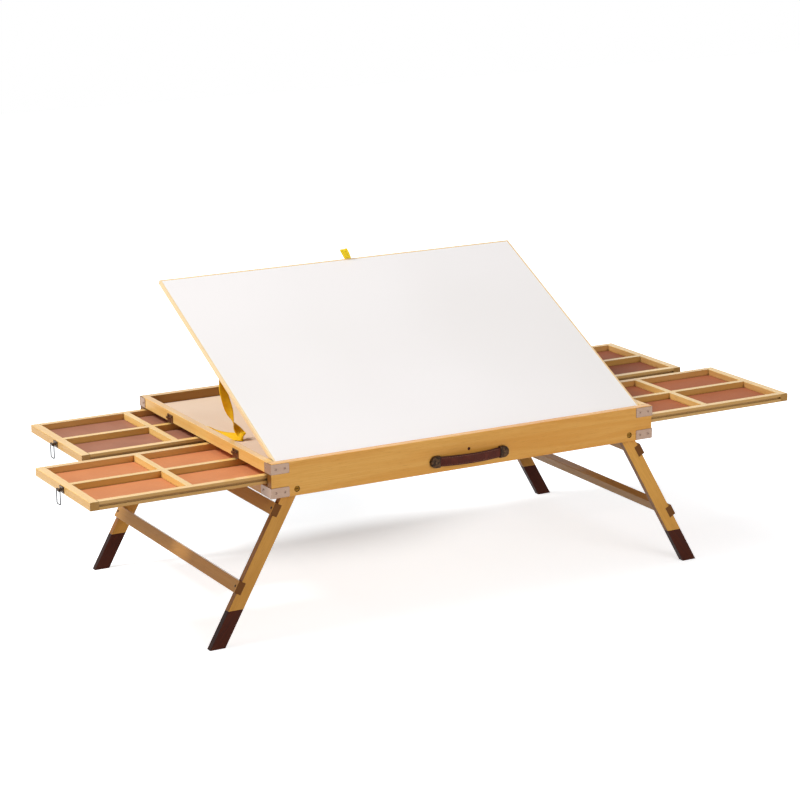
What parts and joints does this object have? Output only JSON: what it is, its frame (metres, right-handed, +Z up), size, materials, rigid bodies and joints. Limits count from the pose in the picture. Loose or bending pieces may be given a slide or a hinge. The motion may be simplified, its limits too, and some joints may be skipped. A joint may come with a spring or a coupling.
{
  "type": "puzzle table with drawers",
  "caption": "Low folding puzzle table: a white tilting board over a shallow wooden case, divided drawers sliding from both ends, splayed folding leg frames and a carrying handle",
  "frame": {"origin": "on the ground, under the middle of the whole outline, drawers out and board tilted", "axes": "X runs left to right along the case, Y from the front with the handle to the back, Z up"},
  "size_m": [1.6116, 0.6416, 0.6371],
  "materials": {
    "case_wood": "clear lacquered pale hardwood, satin",
    "drawer_wood": "clear lacquered pale hardwood, satin",
    "floor_board": "thin fibreboard with a pale beige face",
    "drawer_floor_board": "thin fibreboard with a red-brown face",
    "lid_core": "fibreboard core",
    "white_surface": "smooth white laminate, low sheen",
    "dark_feet": "dark brown stained and lacquered",
    "handle_leather": "dark red-brown strap, darker edges",
    "bronze": "dark antique bronze",
    "bright_steel": "brushed, slightly warm",
    "plain_steel": "zinc-plated steel",
    "webbing": "woven yellow webbing"
  },
  "bodies": {
    "case": {"front_panel": "case_wood", "back_panel": "case_wood", "left_top_rail": "case_wood", "right_top_rail": "case_wood", "lower_side_rails": "case_wood", "compartment_floor": "floor_board", "centre_rail": "case_wood", "centre_partition": "case_wood", "drawer_runners": "case_wood", "upper_corner_bands": "bright_steel", "lower_corner_bands": "bright_steel", "case_screws": "bronze", "latch_keepers": "bronze", "leg_pivot_bolts": "plain_steel", "leg_stops": "case_wood", "panel_plugs": "case_wood", "lid_rests": "case_wood", "lid_pins": "plain_steel", "prop_racks": "case_wood", "left_lid_strap": "webbing", "right_lid_strap": "webbing", "handle_strap": "handle_leather", "handle_caps": "bronze"},
    "lid": {"lid_board": "lid_core", "lid_surface": "white_surface", "lid_edging": "case_wood", "lid_pull_tab": "webbing", "strap_lid_plates": "plain_steel", "prop_hinges": "plain_steel"},
    "prop": {"prop_arms": "case_wood", "prop_crossbar": "case_wood", "prop_foot_rod": "plain_steel"},
    "left_leg_frame": {"left_legs": "case_wood", "left_feet": "dark_feet", "left_leg_rails": "case_wood", "left_leg_screws": "bronze"},
    "right_leg_frame": {"right_legs": "case_wood", "right_feet": "dark_feet", "right_leg_rails": "case_wood", "right_leg_screws": "bronze"},
    "front_left_drawer": {"front_left_drawer_frame": "drawer_wood", "front_left_drawer_dividers": "drawer_wood", "front_left_drawer_floor": "drawer_floor_board", "front_left_latch_plate": "bronze"},
    "front_left_bail": {"front_left_latch_bail": "bronze"},
    "back_left_drawer": {"back_left_drawer_frame": "drawer_wood", "back_left_drawer_dividers": "drawer_wood", "back_left_drawer_floor": "drawer_floor_board", "back_left_latch_plate": "bronze"},
    "back_left_bail": {"back_left_latch_bail": "bronze"},
    "front_right_drawer": {"front_right_drawer_frame": "drawer_wood", "front_right_drawer_dividers": "drawer_wood", "front_right_drawer_floor": "drawer_floor_board", "front_right_latch_plate": "bronze"},
    "front_right_bail": {"front_right_latch_bail": "bronze"},
    "back_right_drawer": {"back_right_drawer_frame": "drawer_wood", "back_right_drawer_dividers": "drawer_wood", "back_right_drawer_floor": "drawer_floor_board", "back_right_latch_plate": "bronze"},
    "back_right_bail": {"back_right_latch_bail": "bronze"}
  },
  "joints": [
    {"name": "lid_tilt", "type": "hinge", "parent": "case", "child": "lid", "pos_m": [0, -0.27908, 0.3505], "axis": [1, 0, 0], "range_deg": [-26.7, 20.3], "deforming": ["left_lid_strap", "right_lid_strap"]},
    {"name": "prop_swing", "type": "hinge", "parent": "lid", "child": "prop", "pos_m": [0, -0.02476, 0.468], "axis": [1, 0, 0], "range_deg": [-40.6, 53.4]},
    {"name": "front_left_slide", "type": "slide", "parent": "case", "child": "front_left_drawer", "axis": [-1, 0, 0], "range_m": [-0.361, 0.007]},
    {"name": "back_left_slide", "type": "slide", "parent": "case", "child": "back_left_drawer", "axis": [-1, 0, 0], "range_m": [-0.251, 0.117]},
    {"name": "front_right_slide", "type": "slide", "parent": "case", "child": "front_right_drawer", "axis": [1, 0, 0], "range_m": [-0.361, 0.007]},
    {"name": "back_right_slide", "type": "slide", "parent": "case", "child": "back_right_drawer", "axis": [1, 0, 0], "range_m": [-0.303, 0.065]},
    {"name": "front_left_bail_swing", "type": "hinge", "parent": "front_left_drawer", "child": "front_left_bail", "pos_m": [-0.803, -0.14958, 0.32175], "axis": [0, 1, 0], "range_deg": [-5, 175]},
    {"name": "back_left_bail_swing", "type": "hinge", "parent": "back_left_drawer", "child": "back_left_bail", "pos_m": [-0.693, 0.16243, 0.32175], "axis": [0, 1, 0], "range_deg": [-5, 175]},
    {"name": "front_right_bail_swing", "type": "hinge", "parent": "front_right_drawer", "child": "front_right_bail", "pos_m": [0.803, -0.14958, 0.32175], "axis": [0, -1, 0], "range_deg": [-5, 175]},
    {"name": "back_right_bail_swing", "type": "hinge", "parent": "back_right_drawer", "child": "back_right_bail", "pos_m": [0.745, 0.16243, 0.32175], "axis": [0, -1, 0], "range_deg": [-5, 175]},
    {"name": "left_leg_fold", "type": "hinge", "parent": "case", "child": "left_leg_frame", "pos_m": [-0.3798, 0.00643, 0.2992], "axis": [0, -1, 0], "range_deg": [0, 119.24]},
    {"name": "right_leg_fold", "type": "hinge", "parent": "case", "child": "right_leg_frame", "pos_m": [0.3798, 0.00643, 0.2992], "axis": [0, 1, 0], "range_deg": [0, 119.24]}
  ],
  "couplings": [
    {"joint": "prop_swing", "follows": "lid_tilt", "ratio": -2}
  ]
}
